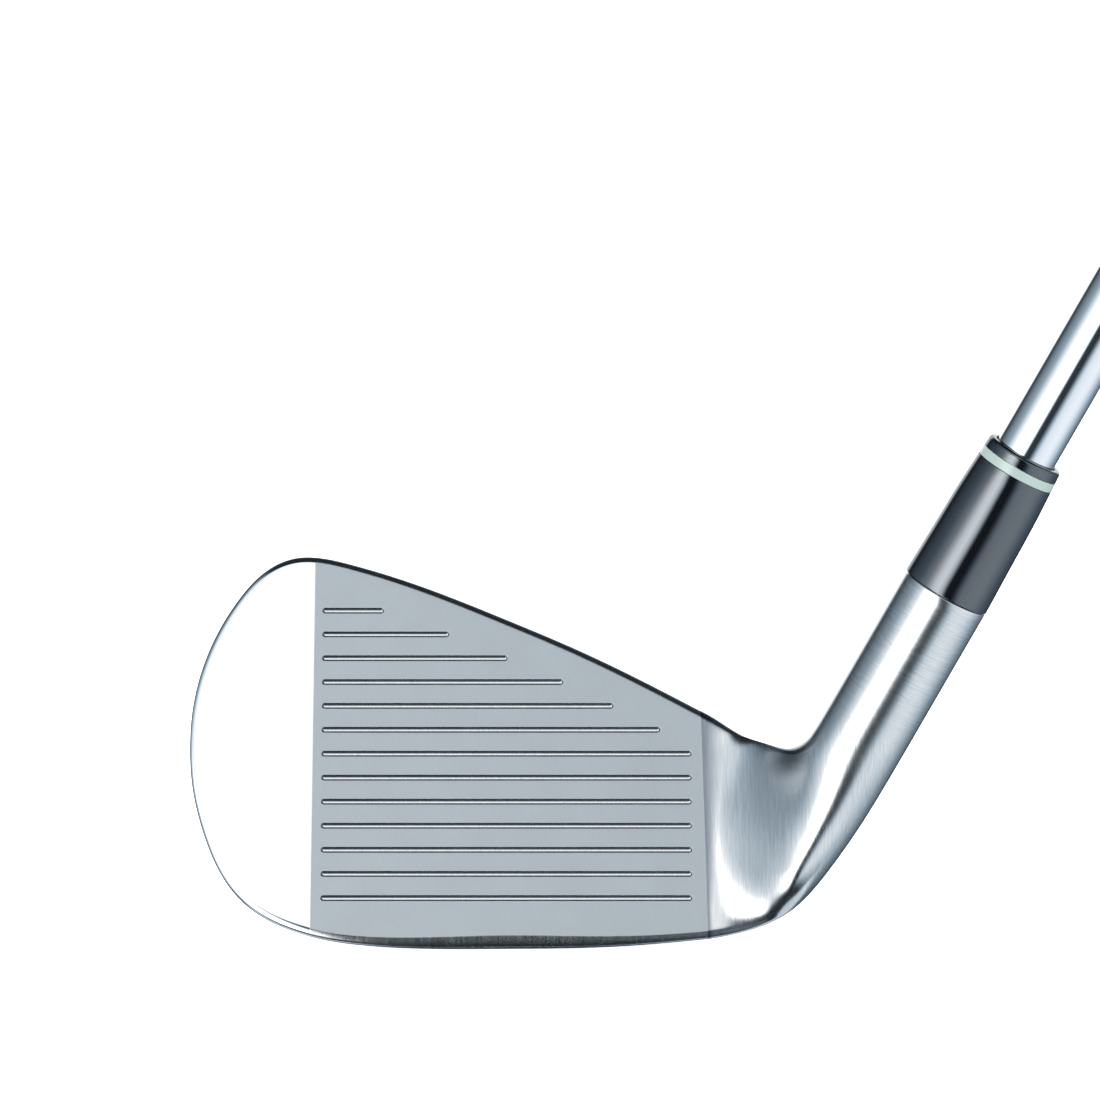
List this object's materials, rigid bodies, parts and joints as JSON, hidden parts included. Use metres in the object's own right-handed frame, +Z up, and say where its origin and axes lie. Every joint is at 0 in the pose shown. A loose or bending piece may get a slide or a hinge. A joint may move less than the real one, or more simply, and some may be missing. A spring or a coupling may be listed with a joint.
{
  "type": "golf iron",
  "caption": "Right-handed mid iron: a scored, forged steel head with its hosel, bonded by a black ferrule to a stepped chrome shaft with a rubber grip.",
  "frame": {"origin": "point on the shaft axis midway along the grip, where the club is held, with the club in its address position", "axes": "+Z up; +X along the score lines from the toe to the heel; the ball leaves towards -Y; the shaft leans towards +X at the lie angle of 61 degrees"},
  "size_m": [0.556, 0.042, 0.8394],
  "materials": {
    "forged_steel": "forged and chromed steel: polished toe and heel, blasted and scored face, brushed hosel",
    "ferrule_black": "glossy black acetate",
    "ferrule_trim": "pale turned trim ring",
    "shaft_chrome": "mirror chrome plating on stepped steel tube",
    "brass_plug": "turned brass",
    "adhesive": "cured epoxy",
    "band_label": "plain adhesive band",
    "tape": "double-sided masking tape",
    "grip_rubber": "matt black rubber with a moulded pattern",
    "grip_cap_rubber": "harder satin black rubber"
  },
  "bodies": {
    "root": {"head": "forged_steel", "ferrule_barrel": "ferrule_black", "ferrule_ring": "ferrule_trim", "ferrule_cap": "ferrule_black", "shaft": "shaft_chrome", "tip_weight": "brass_plug", "hosel_epoxy": "adhesive", "shaft_band": "band_label", "grip_tape": "tape", "grip": "grip_rubber", "grip_end_cap": "grip_cap_rubber"}
  },
  "joints": []
}
